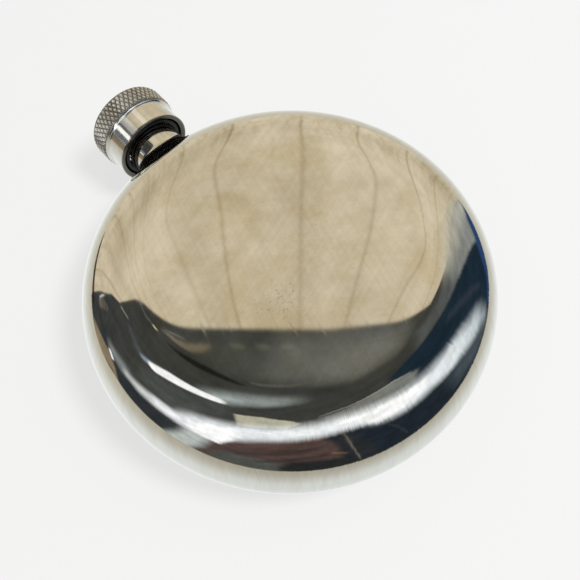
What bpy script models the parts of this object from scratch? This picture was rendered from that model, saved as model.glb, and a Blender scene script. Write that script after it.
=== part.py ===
"""Round stainless-steel wine flask with a knurled screw cap, built as separate pieces.

Lengths are metres and +Z is up. The flask lies flat on its back, with the centre of the back
face at the origin, and its neck points along +Y at half the body's height. The front and rear
shells are pressed halves that meet on the middle plane. The threaded neck goes through the rim
into the body. The cap is a steel shell round a threaded plastic insert and a silicone seal, and
it turns and rises along the neck's axis.
"""
import math

import bmesh
import bpy

# Gaps between separate pieces
FIT_GAP = 0.0003
SEAM_GAP = 0.0001

# Body: its section is a rim arc, then a shoulder arc, then a flat back or a crowned front face
BODY_DIAMETER = 0.096
RIM_RADIUS = 0.013
SHOULDER_RADIUS = 0.025
SHOULDER_SLOPE = math.radians(20)
FRONT_BEND_RADIUS = 1.0
SHELL_WALL = 0.0007

# Neck, as a wall and steps built outwards from the bore
NECK_BORE_RADIUS = 0.0048
NECK_WALL = 0.0015
COLLAR_STEP = 0.0008
COLLAR_COVER = 0.0006
FLARE_RADIUS = 0.0026
FLARE_EDGE = 0.0002
SPIGOT_DEPTH = 0.0030
LIP_ROUND = 0.0003

# Thread, right-handed
THREAD_PITCH = 0.0015
THREAD_DEPTH = 0.0007
THREAD_CLEARANCE = 0.00025
THREAD_ROOT_SHARE = 0.50
THREAD_CREST_SHARE = 0.26
THREAD_ROOTING = 0.0003
THREAD_FADE_TURNS = 0.25
NECK_THREAD_MARGIN = 0.0009
INSERT_THREAD_MARGIN = 0.0007

# Cap
CAP_STANDOFF = 0.00505
CAP_WALL = 0.00135
CAP_END_WALL = 0.0017
SKIRT_LENGTH = 0.0059
SKIRT_EDGE_ROUND = 0.0003
MOUTH_CHAMFER = 0.0003
KNURL_STEP = 0.0009
KNURL_DEPTH = 0.0003
KNURL_STEP_LENGTH = 0.0006
KNURL_LENGTH = 0.0054
KNURL_PITCH = 0.00131
KNURL_ROW_PITCH = 0.0023
END_CHAMFER = 0.0002
INSERT_WALL = 0.00105
INSERT_RECESS = 0.0006
SEAL_THICKNESS = 0.0015
SEAL_BEVEL = 0.0002

# Fineness of the faceted surfaces
BODY_COLUMNS = 72
RIM_STEPS = 7
SHOULDER_STEPS = 3
CROWN_RING_SHARES = (0.60, 0.20)
FLARE_STEPS = 4
TURNED_COLUMNS = 48
THREAD_STEPS_PER_TURN = 36
SHARP_ANGLE = math.radians(32)
EDGE_STEPS = 2

# Places along the body and the neck's axis, worked out from the sizes above
BODY_RADIUS = BODY_DIAMETER / 2
RIM_CENTRE_RADIUS = BODY_RADIUS - RIM_RADIUS
SHOULDER_REACH = SHOULDER_RADIUS - RIM_RADIUS
FLAT_RADIUS = RIM_CENTRE_RADIUS - SHOULDER_REACH * math.sin(SHOULDER_SLOPE)
MIDDLE_HEIGHT = SHOULDER_RADIUS - SHOULDER_REACH * math.cos(SHOULDER_SLOPE)

CORE_RADIUS = NECK_BORE_RADIUS + NECK_WALL
COLLAR_RADIUS = CORE_RADIUS + COLLAR_STEP
NECK_CREST_RADIUS = CORE_RADIUS + THREAD_DEPTH
INSERT_CREST_RADIUS = CORE_RADIUS + THREAD_CLEARANCE
INSERT_BORE_RADIUS = NECK_CREST_RADIUS + THREAD_CLEARANCE
INSERT_RADIUS = max(INSERT_BORE_RADIUS, COLLAR_RADIUS) + INSERT_WALL
CAP_BORE_RADIUS = INSERT_RADIUS + FIT_GAP
SKIRT_RADIUS = CAP_BORE_RADIUS + CAP_WALL
KNURL_CREST_RADIUS = SKIRT_RADIUS + KNURL_STEP
KNURL_ROOT_RADIUS = KNURL_CREST_RADIUS - KNURL_DEPTH

MOUTH_Y = BODY_RADIUS + CAP_STANDOFF
SKIRT_END_Y = MOUTH_Y + SKIRT_LENGTH
KNURL_START_Y = SKIRT_END_Y + KNURL_STEP_LENGTH
KNURL_END_Y = KNURL_START_Y + KNURL_LENGTH
CAP_END_Y = KNURL_END_Y + END_CHAMFER
CAP_INNER_END_Y = CAP_END_Y - CAP_END_WALL
SEAL_TOP_Y = CAP_INNER_END_Y - FIT_GAP
SEAL_BOTTOM_Y = SEAL_TOP_Y - SEAL_THICKNESS
LIP_Y = SEAL_BOTTOM_Y - FIT_GAP
INSERT_TOP_Y = LIP_Y
INSERT_BOTTOM_Y = MOUTH_Y + INSERT_RECESS
COLLAR_TOP_Y = MOUTH_Y + COLLAR_COVER
SPIGOT_END_Y = BODY_RADIUS - SPIGOT_DEPTH


def remove_everything():
    for obj in list(bpy.data.objects):
        bpy.data.objects.remove(obj, do_unlink=True)


def make_material(name, colour, metallic, roughness):
    """A Principled material in one colour."""
    material = bpy.data.materials.new(name)
    material.use_nodes = True
    shader = material.node_tree.nodes["Principled BSDF"]
    shader.inputs["Base Color"].default_value = (*colour, 1.0)
    shader.inputs["Metallic"].default_value = metallic
    shader.inputs["Roughness"].default_value = roughness
    return material


def make_axis(name):
    """An empty on the neck's axis, whose local Z runs along world +Y."""
    axis = bpy.data.objects.new(name, None)
    axis.location = (0.0, 0.0, MIDDLE_HEIGHT)
    axis.rotation_euler = (-math.pi / 2, 0.0, 0.0)
    axis.empty_display_size = BODY_RADIUS
    bpy.context.scene.collection.objects.link(axis)
    return axis


def make_object(name, bm, parent=None, material=None):
    """Turn a bmesh into an object with outward faces and smooth shading between sharp edges."""
    bmesh.ops.recalc_face_normals(bm, faces=bm.faces)
    mesh = bpy.data.meshes.new(name)
    bm.to_mesh(mesh)
    bm.free()
    mesh.shade_smooth()
    mesh.set_sharp_from_angle(angle=SHARP_ANGLE)
    if material is not None:
        mesh.materials.append(material)
    obj = bpy.data.objects.new(name, mesh)
    obj.parent = parent
    bpy.context.scene.collection.objects.link(obj)
    return obj


def hide_tool(obj):
    """Mark an object that only shapes another one."""
    obj.hide_render = True
    obj.display_type = "WIRE"
    return obj


def combine(obj, operation, tool):
    """Join, or cut away, another object's solid."""
    boolean = obj.modifiers.new(operation.lower() + "_" + tool.name, "BOOLEAN")
    boolean.operation = operation
    boolean.solver = "EXACT"
    boolean.object = tool


def arc(centre, radius, start, end, steps):
    """Points on an arc in the (radius, height) half plane, angles from the outward radius."""
    points = []
    for step in range(steps + 1):
        angle = start + (end - start) * step / steps
        points.append((centre[0] + radius * math.cos(angle), centre[1] + radius * math.sin(angle)))
    return points


def add_ring(bm, radii, height, count):
    """A ring of points about local Z, its radii repeating around it."""
    ring = []
    for index in range(count):
        angle = 2 * math.pi * index / count
        radius = radii[index % len(radii)]
        ring.append(bm.verts.new((radius * math.cos(angle), radius * math.sin(angle), height)))
    return ring


def skin(bm, lower, upper):
    """Faces between two rings that have as many points, or where one has twice as many."""
    if len(lower) == len(upper):
        count = len(lower)
        for index in range(count):
            after = (index + 1) % count
            bm.faces.new((lower[index], lower[after], upper[after], upper[index]))
        return
    fine, coarse = (lower, upper) if len(lower) > len(upper) else (upper, lower)
    for index in range(len(coarse)):
        after = (index + 1) % len(coarse)
        middle = fine[2 * index + 1]
        bm.faces.new((fine[2 * index], middle, coarse[index]))
        bm.faces.new((middle, fine[2 * after], coarse[after], coarse[index]))


def turned_solid(profile, columns):
    """A closed solid turned about local Z from (radius, height) points.

    A profile that starts and ends on the axis closes with a flat face at each end, and any
    other profile is a closed loop.
    """
    bm = bmesh.new()
    on_axis = profile[0][0] == 0.0
    points = [point for point in profile if point[0] > 0.0]
    rings = [add_ring(bm, (radius,), height, columns) for radius, height in points]
    for lower, upper in zip(rings, rings[1:]):
        skin(bm, lower, upper)
    if on_axis:
        bm.faces.new(rings[0])
        bm.faces.new(rings[-1])
    else:
        skin(bm, rings[-1], rings[0])
    return bm


def half_section(offset, crowned):
    """Half the body's section, from the middle plane to its face, as (radius, height) points.

    Three arcs meet smoothly: the rim's arc, the shoulder's arc from SHOULDER_SLOPE, and a wide
    arc centred on the body's axis for a crowned face. Without a crown the shoulder's arc runs
    on to a flat face. The offset grows or shrinks every arc, which keeps the wall even.
    """
    quarter = math.pi / 2
    shoulder_centre = (FLAT_RADIUS, MIDDLE_HEIGHT - SHOULDER_RADIUS)
    bend_reach = FRONT_BEND_RADIUS - SHOULDER_RADIUS
    face_slope = math.asin(FLAT_RADIUS / bend_reach) if crowned else 0.0
    rim = arc((RIM_CENTRE_RADIUS, 0.0), RIM_RADIUS + offset, 0.0, quarter - SHOULDER_SLOPE, RIM_STEPS)
    shoulder = arc(
        shoulder_centre, SHOULDER_RADIUS + offset,
        quarter - SHOULDER_SLOPE, quarter - face_slope, SHOULDER_STEPS,
    )
    points = rim + shoulder[1:]
    if crowned:
        bend_radius = FRONT_BEND_RADIUS + offset
        centre_height = shoulder_centre[1] - bend_reach * math.cos(face_slope)
        for share in CROWN_RING_SHARES:
            radius = shoulder[-1][0] * share
            points.append((radius, centre_height + math.sqrt(bend_radius ** 2 - radius ** 2)))
    return points


def shell_solid(crowned, direction):
    """One pressed half: its outer and inner skins, joined along the seam."""
    outer = half_section(0.0, crowned)
    inner = half_section(-SHELL_WALL, crowned)
    bm = bmesh.new()

    def place(radius, height):
        seam = SEAM_GAP / 2 if height == 0.0 else 0.0
        return add_ring(bm, (radius,), MIDDLE_HEIGHT + direction * (height + seam), BODY_COLUMNS)

    outer_rings = [place(radius, height) for radius, height in outer]
    inner_rings = [place(radius, height) for radius, height in inner]
    for rings in (outer_rings, inner_rings):
        for lower, upper in zip(rings, rings[1:]):
            skin(bm, lower, upper)
        bm.faces.new(rings[-1])
    skin(bm, outer_rings[0], inner_rings[0])
    return bm


def body_filler(growth):
    """The whole body as one solid pillow, grown by a gap, for cutting what sits on it."""
    front = half_section(growth, True)
    back = half_section(growth, False)
    profile = [(radius, MIDDLE_HEIGHT - height) for radius, height in reversed(back)]
    profile += [(radius, MIDDLE_HEIGHT + height) for radius, height in front[1:]]
    return turned_solid([(0.0, profile[0][1])] + profile + [(0.0, profile[-1][1])], BODY_COLUMNS)


def thread_height(turns, shift):
    """Height along the neck's axis of a thread's middle line after a number of turns."""
    return COLLAR_TOP_Y + THREAD_PITCH * (turns + shift)


def thread_ridge(base_radius, crest_radius, start_y, end_y, shift):
    """A helical ridge with a trapezium section, rooted beyond base_radius.

    The middle line is radius (cos a, sin a) with height rising by one pitch each turn. The
    crest sinks under the base surface over the last part of a turn at both ends.
    """
    bm = bmesh.new()
    first = (start_y - thread_height(0.0, shift)) / THREAD_PITCH
    last = (end_y - thread_height(0.0, shift)) / THREAD_PITCH
    steps = max(2, round((last - first) * THREAD_STEPS_PER_TURN))
    outward = math.copysign(1.0, crest_radius - base_radius)
    root = base_radius - outward * THREAD_ROOTING
    sunk = base_radius - outward * THREAD_ROOTING / 3
    root_half = THREAD_PITCH * THREAD_ROOT_SHARE / 2
    crest_half = THREAD_PITCH * THREAD_CREST_SHARE / 2
    sections = []
    for step in range(steps + 1):
        turns = first + (last - first) * step / steps
        fade = min(1.0, (turns - first) / THREAD_FADE_TURNS, (last - turns) / THREAD_FADE_TURNS)
        crest = sunk + (crest_radius - sunk) * fade
        height = thread_height(turns, shift)
        angle = 2 * math.pi * turns
        section = []
        for radius, rise in (
            (root, -root_half), (crest, -crest_half), (crest, crest_half), (root, root_half),
        ):
            place = (radius * math.cos(angle), radius * math.sin(angle), height + rise)
            section.append(bm.verts.new(place))
        sections.append(section)
    for near, far in zip(sections, sections[1:]):
        skin(bm, near, far)
    bm.faces.new(sections[0])
    bm.faces.new(sections[-1])
    return bm


def build_shells(axis, material):
    """The two pressed halves, with the neck's hole through their rim."""
    hole = [(0.0, RIM_CENTRE_RADIUS), (CORE_RADIUS + FIT_GAP, RIM_CENTRE_RADIUS)]
    hole += [(CORE_RADIUS + FIT_GAP, MOUTH_Y), (0.0, MOUTH_Y)]
    cutter = hide_tool(make_object("neck_hole", turned_solid(hole, TURNED_COLUMNS), axis))
    front = make_object("front_shell", shell_solid(True, 1), None, material)
    rear = make_object("rear_shell", shell_solid(False, -1), None, material)
    for shell in (front, rear):
        combine(shell, "DIFFERENCE", cutter)


def flared_collar():
    """The collar, flared at its foot so that it runs smoothly down onto the rounded rim.

    A point (r cos a, r sin a) off the neck's axis has the rim under it at the height h where
    h is the square root of q * q - (r cos a) ** 2, and q is the rim's own radius r sin a away
    from the middle plane. The flare follows a quarter circle from there to the collar.
    """
    bm = bmesh.new()

    def ring(radius, lift):
        points = []
        for index in range(TURNED_COLUMNS):
            angle = 2 * math.pi * index / TURNED_COLUMNS
            across, off = radius * math.cos(angle), radius * math.sin(angle)
            rim = RIM_CENTRE_RADIUS + math.sqrt(RIM_RADIUS ** 2 - off ** 2)
            height = math.sqrt(rim ** 2 - across ** 2) + FIT_GAP + FLARE_EDGE + lift
            points.append(bm.verts.new((across, off, height)))
        return points

    rings = [add_ring(bm, (COLLAR_RADIUS + FLARE_RADIUS,), RIM_CENTRE_RADIUS, TURNED_COLUMNS)]
    for step in range(FLARE_STEPS + 1):
        turn = math.pi / 2 * step / FLARE_STEPS
        radius = COLLAR_RADIUS + FLARE_RADIUS * (1 - math.sin(turn))
        rings.append(ring(radius, FLARE_RADIUS * (1 - math.cos(turn))))
    for radius, height in (
        (COLLAR_RADIUS, COLLAR_TOP_Y - LIP_ROUND), (COLLAR_RADIUS - LIP_ROUND, COLLAR_TOP_Y),
    ):
        rings.append(add_ring(bm, (radius,), height, TURNED_COLUMNS))
    for lower, upper in zip(rings, rings[1:]):
        skin(bm, lower, upper)
    bm.faces.new(rings[0])
    bm.faces.new(rings[-1])
    return bm


def build_neck(axis, material):
    """Flared collar that sits on the rim, threaded tube and bore."""
    neck = make_object("neck", flared_collar(), axis, material)
    body = hide_tool(make_object("body_filler", body_filler(FIT_GAP)))
    combine(neck, "DIFFERENCE", body)

    tube = [(0.0, SPIGOT_END_Y), (CORE_RADIUS, SPIGOT_END_Y)]
    tube += [(CORE_RADIUS, LIP_Y - LIP_ROUND), (CORE_RADIUS - LIP_ROUND, LIP_Y), (0.0, LIP_Y)]
    tube_tool = hide_tool(make_object("neck_tube", turned_solid(tube, TURNED_COLUMNS), axis))
    combine(neck, "UNION", tube_tool)

    ridge = thread_ridge(
        CORE_RADIUS, NECK_CREST_RADIUS,
        COLLAR_TOP_Y + NECK_THREAD_MARGIN, LIP_Y - NECK_THREAD_MARGIN, 0.0,
    )
    combine(neck, "UNION", hide_tool(make_object("neck_thread", ridge, axis)))

    bore = [(0.0, SPIGOT_END_Y - FIT_GAP), (NECK_BORE_RADIUS, SPIGOT_END_Y - FIT_GAP)]
    bore += [(NECK_BORE_RADIUS, LIP_Y + FIT_GAP), (0.0, LIP_Y + FIT_GAP)]
    bore_tool = hide_tool(make_object("neck_bore", turned_solid(bore, TURNED_COLUMNS), axis))
    combine(neck, "DIFFERENCE", bore_tool)


def knurl_rows(bm, count):
    """Rings of a diamond knurl: crests and roots alternate round the band and along it."""
    rows = max(3, round(2 * KNURL_LENGTH / KNURL_ROW_PITCH))
    rings = []
    for row in range(rows + 1):
        height = KNURL_START_Y + KNURL_LENGTH * row / rows
        if row in (0, rows):
            radii = (KNURL_ROOT_RADIUS,)
        elif row % 2:
            radii = (KNURL_CREST_RADIUS, KNURL_ROOT_RADIUS)
        else:
            radii = (KNURL_ROOT_RADIUS, KNURL_CREST_RADIUS)
        rings.append(add_ring(bm, radii, height, count))
    return rings


def skin_knurl(bm, rings):
    """Two triangles in each cell, split along the valley so that each crest is a pyramid."""
    count = len(rings[0])
    for row, (lower, upper) in enumerate(zip(rings, rings[1:])):
        for index in range(count):
            after = (index + 1) % count
            a, b, c, d = lower[index], lower[after], upper[after], upper[index]
            if (row + index) % 2:
                bm.faces.new((a, b, c))
                bm.faces.new((a, c, d))
            else:
                bm.faces.new((a, b, d))
                bm.faces.new((b, c, d))


def build_cap_shell(axis, material):
    """The steel cap: smooth skirt, diamond-knurled band, flat end and plain inside.

    The knurled band has two columns of points for each diamond, and the plain rings have one.
    """
    bm = bmesh.new()
    plain = round(2 * math.pi * KNURL_CREST_RADIUS / KNURL_PITCH)
    fine = 2 * plain
    lip_radius = SKIRT_RADIUS - SKIRT_EDGE_ROUND
    edge_centre = (lip_radius, MOUTH_Y + SKIRT_EDGE_ROUND)
    mouth_edge = arc(edge_centre, SKIRT_EDGE_ROUND, -math.pi / 2, 0.0, EDGE_STEPS)
    inside = [
        (CAP_BORE_RADIUS, CAP_INNER_END_Y),
        (CAP_BORE_RADIUS, MOUTH_Y + MOUTH_CHAMFER),
        (CAP_BORE_RADIUS + MOUTH_CHAMFER, MOUTH_Y),
    ]
    plain_rings = [add_ring(bm, (radius,), height, plain) for radius, height in inside + mouth_edge]
    plain_rings.append(add_ring(bm, (SKIRT_RADIUS,), SKIRT_END_Y, plain))
    band = knurl_rows(bm, fine)
    end = add_ring(bm, (KNURL_ROOT_RADIUS - END_CHAMFER,), CAP_END_Y, plain)
    for lower, upper in zip(plain_rings, plain_rings[1:]):
        skin(bm, lower, upper)
    skin(bm, plain_rings[-1], band[0])
    skin_knurl(bm, band)
    skin(bm, band[-1], end)
    bm.faces.new(plain_rings[0])
    bm.faces.new(end)
    make_object("cap_shell", bm, axis, material)


def build_cap_insert(axis, material):
    """The plastic sleeve inside the cap, with the internal thread."""
    sleeve = [
        (INSERT_BORE_RADIUS, INSERT_BOTTOM_Y), (INSERT_RADIUS, INSERT_BOTTOM_Y),
        (INSERT_RADIUS, INSERT_TOP_Y), (INSERT_BORE_RADIUS, INSERT_TOP_Y),
    ]
    insert = make_object("cap_thread_insert", turned_solid(sleeve, TURNED_COLUMNS), axis, material)
    ridge = thread_ridge(
        INSERT_BORE_RADIUS, INSERT_CREST_RADIUS,
        INSERT_BOTTOM_Y + INSERT_THREAD_MARGIN, INSERT_TOP_Y - INSERT_THREAD_MARGIN, 0.5,
    )
    combine(insert, "UNION", hide_tool(make_object("insert_thread", ridge, axis)))


def build_seal(axis, material):
    """The silicone disc between the cap's end wall and the neck's lip."""
    disc = [
        (0.0, SEAL_BOTTOM_Y), (INSERT_RADIUS - SEAL_BEVEL, SEAL_BOTTOM_Y),
        (INSERT_RADIUS, SEAL_BOTTOM_Y + SEAL_BEVEL), (INSERT_RADIUS, SEAL_TOP_Y - SEAL_BEVEL),
        (INSERT_RADIUS - SEAL_BEVEL, SEAL_TOP_Y), (0.0, SEAL_TOP_Y),
    ]
    make_object("cap_seal", turned_solid(disc, TURNED_COLUMNS), axis, material)


def main():
    remove_everything()
    polished = make_material("polished_steel", (0.62, 0.60, 0.56), 1.0, 0.12)
    turned = make_material("turned_steel", (0.60, 0.58, 0.54), 1.0, 0.24)
    plastic = make_material("black_plastic", (0.02, 0.02, 0.02), 0.0, 0.35)
    silicone = make_material("silicone", (0.72, 0.71, 0.68), 0.0, 0.55)
    neck_axis = make_axis("neck_axis")
    seal_axis = make_axis("cap_lift_axis")
    cap_axis = make_axis("cap_turn_axis")
    build_shells(neck_axis, polished)
    build_neck(neck_axis, turned)
    build_seal(seal_axis, silicone)
    build_cap_shell(cap_axis, turned)
    build_cap_insert(cap_axis, plastic)


main()
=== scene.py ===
"""Dresses the round wine flask: polished pressed shells, a turned neck and a knurled screw cap.

Lengths are metres and +Z is up. The flask lies on its back with its neck along +Y. Every piece is
a surface worked out with numpy, as rings of points round the body's axis or the neck's axis.
"""
import math

import bpy
import numpy as np
from mathutils import Matrix, Vector


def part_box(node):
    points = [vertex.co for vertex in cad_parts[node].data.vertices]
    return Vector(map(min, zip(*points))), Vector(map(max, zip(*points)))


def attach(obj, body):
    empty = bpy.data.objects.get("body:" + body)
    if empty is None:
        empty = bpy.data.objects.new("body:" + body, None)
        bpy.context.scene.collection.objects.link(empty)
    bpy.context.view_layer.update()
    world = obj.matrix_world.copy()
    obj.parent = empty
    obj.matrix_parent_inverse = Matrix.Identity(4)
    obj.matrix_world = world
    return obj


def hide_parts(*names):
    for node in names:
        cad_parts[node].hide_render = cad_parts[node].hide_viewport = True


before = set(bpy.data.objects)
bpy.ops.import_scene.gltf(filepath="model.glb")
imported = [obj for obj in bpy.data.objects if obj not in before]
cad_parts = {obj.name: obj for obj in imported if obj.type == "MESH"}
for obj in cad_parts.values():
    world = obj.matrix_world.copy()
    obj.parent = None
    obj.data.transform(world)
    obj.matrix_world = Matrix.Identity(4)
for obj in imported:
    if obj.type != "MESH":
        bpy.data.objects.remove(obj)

bl_info = {
    "name": "Round wine flask",
    "version": (1, 0, 0),
    "blender": (4, 2, 0),
    "location": "View3D > Sidebar > Wine Flask",
    "description": "Builds the visible pieces of a round steel wine flask and its studio stage",
    "category": "Add Mesh",
}

# Low and high corners of the CAD nodes' boxes, and the height of the body's middle plane
SHELL_LOW, SHELL_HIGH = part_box("rear_shell")[0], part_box("front_shell")[1]
NECK_LOW, NECK_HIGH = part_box("neck")
CAP_LOW, CAP_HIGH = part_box("cap_shell")
INSERT_LOW, INSERT_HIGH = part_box("cap_thread_insert")
SEAL_LOW, SEAL_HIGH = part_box("cap_seal")
MIDDLE = (CAP_LOW.z + CAP_HIGH.z) / 2

# Edges that bend more than this stay sharp, and the knurl's at less
SHARP_ANGLE, KNURL_SHARP_ANGLE = math.radians(32), math.radians(24)

# Points round the shells and the neck, points of each diamond of the knurl, and rings of a shell's
# outside and inside
SHELL_COLUMNS, NECK_COLUMNS, KNURL_STEPS = 288, 192, 6
OUTER_RINGS, INNER_RINGS = 103, 33


def metres(name, description, default):
    """A length that the user can change."""
    return bpy.props.FloatProperty(
        name=name, description=description, default=default, unit="LENGTH", subtype="DISTANCE")


def tint(name, description, default):
    """A colour that the user can change."""
    return bpy.props.FloatVectorProperty(
        name=name, description=description, default=default, size=3, subtype="COLOR",
        min=0.0, max=1.0)


class WineFlaskBody(bpy.types.PropertyGroup):
    """Sizes of the pressed shells"""

    radius: metres("Body radius", "Radius of the round body", SHELL_HIGH.x)
    rim_radius: metres("Rim radius", "Bend radius of the rounded rim, seen in section", 0.013)
    shoulder_radius: metres("Shoulder radius", "Bend radius where the rim runs into the face", 0.025)
    shoulder_slope: bpy.props.FloatProperty(
        name="Shoulder slope", description="Slope of the section where the rim meets the shoulder",
        default=math.radians(20), unit="ROTATION", subtype="ANGLE")
    crown_radius: metres("Face radius", "Bend radius of the slightly crowned front face", 1.0)
    blend: metres("Blend", "Length over which one bend of the section eases into the next", 0.012)
    wall: metres("Wall", "Thickness of the steel sheet", 0.0007)
    seam_gap: metres("Seam gap", "Distance from the middle plane to each shell's edge", 0.00001)


class WineFlaskNeck(bpy.types.PropertyGroup):
    """Sizes of the neck and the thread"""

    bore: metres("Bore radius", "Radius of the hole that the wine is poured through", 0.0048)
    core: metres("Core radius", "Radius of the neck at the root of its thread", 0.0063)
    collar: metres("Collar radius", "Radius of the plain collar below the thread", 0.0071)
    collar_top: metres("Collar top", "Place of the collar's top edge along the neck", 0.05365)
    flare: metres("Flare radius", "Radius of the smooth flare between the collar and the rim", 0.0026)
    pitch: metres("Thread pitch", "Rise of the thread in one turn", 0.0015)
    depth: metres("Thread depth", "Height of the thread's crest over its root", 0.0007)
    margin: metres("Thread margin", "Plain length of the neck at each end of the thread", 0.0009)


class WineFlaskCap(bpy.types.PropertyGroup):
    """Sizes of the cap, its insert and its seal"""

    bore: metres("Cap bore radius", "Inside radius of the cap's steel shell", 0.0086)
    skirt: metres("Skirt radius", "Radius of the plain skirt below the knurl", 0.00995)
    knurl_start: metres("Knurl start", "Place along the neck where the knurl starts", 0.05955)
    knurl_end: metres("Knurl end", "Place along the neck where the knurl ends", 0.06495)
    knurl_depth: metres("Knurl depth", "Depth of the grooves between the diamonds", 0.0003)
    knurl_count: bpy.props.IntProperty(
        name="Diamonds round", description="Number of diamonds round the cap", default=52)
    knurl_rows: bpy.props.FloatProperty(
        name="Diamond rows", description="Number of diamonds along the knurl", default=7 / 3)
    knurl_turn: bpy.props.FloatProperty(
        name="Knurl turn", description="Angle that the first diamond is turned by",
        default=math.radians(-79.2), unit="ROTATION", subtype="ANGLE")
    lip_round: metres("Lip round", "Rounding of the lip towards the mouth", 0.0009)
    lip_edge: metres("Lip edge", "Radius of the rounded outer edge of the cap's lip", 0.0002)
    cove: metres("Cove radius", "Radius of the hollow curve from the skirt to the knurl", 0.0011)
    inner_end: metres("Inner end", "Place along the neck of the cap's inside end face", 0.06345)
    insert_bore: metres("Insert bore radius", "Radius of the insert at the root of its thread", 0.00725)
    insert_crest: metres(
        "Insert crest radius", "Radius of the insert at the crest of its thread", 0.00655)


class WineFlaskFinish(bpy.types.PropertyGroup):
    """Colours of the materials"""

    steel: tint("Steel", "Colour that the polished steel gives to what it reflects", (0.70, 0.685, 0.65))
    plastic: tint("Insert plastic", "Colour of the moulded insert", (0.004, 0.004, 0.0045))
    silicone: tint("Seal silicone", "Colour of the soft seal", (0.72, 0.71, 0.68))
    table: tint("Table", "Colour of the pale table", (0.06, 0.06, 0.0598))
    table_glow: bpy.props.FloatProperty(
        name="Table glow", description="Light that the table gives off, which keeps shadows faint",
        default=0.70, min=0.0, max=1.0, subtype="FACTOR")


# Surfaces of rings

def ring_angles(columns):
    """Equal angles once round, without the last, which is the first again."""
    return np.arange(columns) * (2 * math.pi / columns)


def round_body(radius, height, angles):
    """Points round the body's axis: x = r cos a, y = r sin a, z = the middle plane + h."""
    radius = np.broadcast_to(radius, np.broadcast(radius, angles).shape)
    height = np.broadcast_to(height, radius.shape)
    return np.stack([radius * np.cos(angles), radius * np.sin(angles), MIDDLE + height], -1)


def round_neck(radius, along, angles):
    """Points round the neck's axis: x = r cos a, y = along, z = the middle plane - r sin a."""
    radius, along, angles = np.broadcast_arrays(radius, along, angles)
    return np.stack([radius * np.cos(angles), along, MIDDLE - radius * np.sin(angles)], -1)


def turned_profile(profile, angles):
    """A profile, as rows of radius and place along the neck, carried round the neck's axis."""
    return round_neck(profile[:, :1], profile[:, 1:], angles)


def quarter(centre_radius, centre_along, size, start, steps=6):
    """A quarter circle in section, from an angle, as rows of radius and place along the axis."""
    turn = start + np.linspace(0, math.pi / 2, steps)
    return np.stack([centre_radius + size * np.cos(turn), centre_along + size * np.sin(turn)], 1)


def eased(value):
    """Nought to one with soft ends: three times the value's square less twice its cube."""
    value = np.clip(value, 0, 1)
    return value * value * (3 - 2 * value)


def running_sum(values, step):
    """The area under values that are a step apart, from nought, counted as trapeziums."""
    return np.concatenate([[0.0], np.cumsum((values[1:] + values[:-1]) / 2 * step)])


def ring_faces(rows, columns, loop, flips=None):
    """Faces between neighbouring rings. The last ring joins the first if loop is true.

    flips, a table of rows by columns, cuts each four-sided face in two: true cuts from its
    first corner, and false from its second.
    """
    row = np.arange(rows if loop else rows - 1)[:, None]
    column = np.arange(columns)[None, :]
    after_row = (row + 1) % rows
    after_column = (column + 1) % columns
    corners = np.stack(np.broadcast_arrays(
        row * columns + column, row * columns + after_column,
        after_row * columns + after_column, after_row * columns + column), -1)
    if flips is None:
        return corners.reshape(-1, 4).tolist()
    first = np.where(flips[..., None], corners[..., [0, 1, 2]], corners[..., [0, 1, 3]])
    second = np.where(flips[..., None], corners[..., [0, 2, 3]], corners[..., [1, 2, 3]])
    return np.stack([first, second], 2).reshape(-1, 3).tolist()


def pole_faces(ring_start, columns, pole, opening):
    """A fan that closes a ring with one point: before the first ring if opening is true."""
    column = np.arange(columns)
    near, far = ring_start + column, ring_start + (column + 1) % columns
    fan = np.stack([far, near] if opening else [near, far], -1)
    return np.concatenate([fan, np.full((columns, 1), pole)], 1).tolist()


def put_in_scene(name, data):
    """A new object with its data, linked to the scene."""
    obj = bpy.data.objects.new(name, data)
    bpy.context.scene.collection.objects.link(obj)
    return obj


def make_piece(name, rings, poles=None, loop=False, flips=None, sharp=SHARP_ANGLE):
    """An object from rings of points, closed by two poles or by joining the last ring to the first.

    Its UV map runs once round in U, and along the section, in centimetres, in V.
    """
    rows, columns = rings.shape[:2]
    points = rings.reshape(-1, 3)
    faces = ring_faces(rows, columns, loop, flips)
    if poles is not None:
        faces = (pole_faces(0, columns, len(points), True) + faces
                 + pole_faces((rows - 1) * columns, columns, len(points) + 1, False))
        points = np.concatenate([points, np.asarray(poles, float)])
    mesh = bpy.data.meshes.new(name)
    mesh.from_pydata(points.tolist(), [], faces)
    lay_uv(mesh, rings, points, columns)
    mesh.shade_smooth()
    mesh.set_sharp_from_angle(angle=sharp)
    mesh.validate()
    return put_in_scene(name, mesh)


def read(items, key, width=1, kind=np.int32):
    """One value, or one row of values, of every point, corner or face."""
    values = np.empty(len(items) * width, dtype=kind)
    items.foreach_get(key, values)
    return values if width == 1 else values.reshape(-1, width)


def face_corners(mesh):
    """Each corner's point, each face's first corner, and each corner's face."""
    total = read(mesh.polygons, "loop_total")
    face = np.repeat(np.arange(len(total)), total)
    return read(mesh.loops, "vertex_index"), read(mesh.polygons, "loop_start"), face


def point_values(mesh, name, values):
    """Gives each point a number, for the material to read."""
    layer = mesh.attributes.new(name, "FLOAT", "POINT")
    layer.data.foreach_set("value", values.astype(np.float32))


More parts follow.
